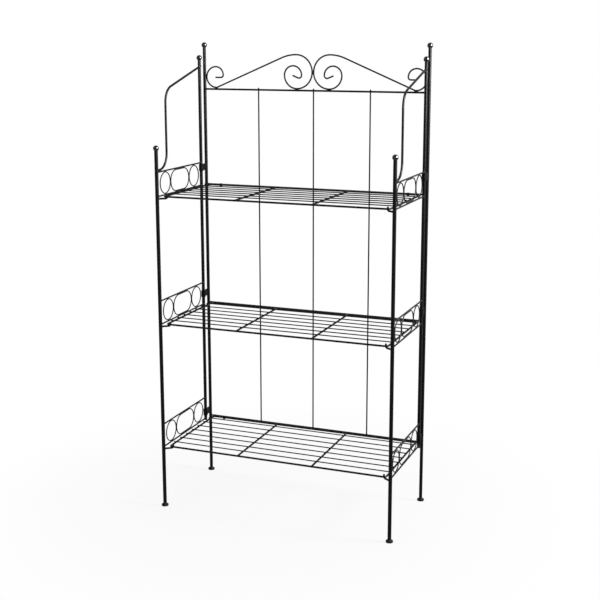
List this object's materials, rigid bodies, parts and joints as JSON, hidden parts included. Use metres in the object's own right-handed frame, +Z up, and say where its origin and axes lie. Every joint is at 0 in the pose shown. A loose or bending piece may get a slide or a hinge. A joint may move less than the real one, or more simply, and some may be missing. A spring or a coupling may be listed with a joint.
{
  "type": "folding bakers rack",
  "caption": "Folding rack of black steel rod with slatted shelves that hinge up, ring galleries at the ends, bent braces and a scrolled top.",
  "frame": {"origin": "on the floor under the middle of the four feet", "axes": "+Z up, +Y towards the back frame, +X to the right seen from the front"},
  "size_m": [0.774, 0.362, 1.457],
  "materials": {
    "posts": "gloss black",
    "rods": "gloss black",
    "wire": "gloss black",
    "fittings": "gloss black",
    "balls": "gloss black",
    "feet": "matt black"
  },
  "bodies": {
    "frame": {"back_post_left": "posts", "back_post_right": "posts", "top_rail": "rods", "back_rail_low": "rods", "back_rail_middle": "rods", "back_rail_high": "rods", "back_rod_left": "wire", "back_rod_centre": "wire", "back_rod_right": "wire", "scroll_left": "rods", "scroll_right": "rods", "ball_back_left": "balls", "ball_back_right": "balls", "ball_side_left": "balls", "ball_side_right": "balls", "ball_front_left": "balls", "ball_front_right": "balls", "foot_back_left": "feet", "foot_back_right": "feet", "foot_front_left": "feet", "foot_front_right": "feet", "clip_low_left": "fittings", "clip_low_right": "fittings", "clip_middle_left": "fittings", "clip_middle_right": "fittings", "clip_high_left": "fittings", "clip_high_right": "fittings", "side_post_left": "posts", "side_post_right": "posts", "front_post_left": "posts", "front_post_right": "posts", "brace_left": "rods", "brace_right": "rods", "gallery_bars_low_left": "rods", "gallery_bars_low_right": "rods", "gallery_bars_middle_left": "rods", "gallery_bars_middle_right": "rods", "gallery_bars_high_left": "rods", "gallery_bars_high_right": "rods", "gallery_rings_low_left": "wire", "gallery_rings_low_right": "wire", "gallery_rings_middle_left": "wire", "gallery_rings_middle_right": "wire", "gallery_rings_high_left": "wire", "gallery_rings_high_right": "wire", "hooks_left": "rods", "hooks_right": "rods", "shelf_eyes_low": "fittings", "shelf_eyes_middle": "fittings", "shelf_eyes_high": "fittings"},
    "shelf_low": {"shelf_rim_low": "rods", "shelf_cross_bars_low": "rods", "shelf_slats_low": "wire"},
    "shelf_middle": {"shelf_rim_middle": "rods", "shelf_cross_bars_middle": "rods", "shelf_slats_middle": "wire"},
    "shelf_high": {"shelf_rim_high": "rods", "shelf_cross_bars_high": "rods", "shelf_slats_high": "wire"}
  },
  "joints": [
    {"name": "shelf_low_fold", "type": "hinge", "parent": "frame", "child": "shelf_low", "pos_m": [0, 0.16, 0.198], "axis": [-1, 0, 0], "range_deg": [0, 90]},
    {"name": "shelf_middle_fold", "type": "hinge", "parent": "frame", "child": "shelf_middle", "pos_m": [0, 0.16, 0.598], "axis": [-1, 0, 0], "range_deg": [0, 90]},
    {"name": "shelf_high_fold", "type": "hinge", "parent": "frame", "child": "shelf_high", "pos_m": [0, 0.16, 0.998], "axis": [-1, 0, 0], "range_deg": [0, 90]}
  ]
}
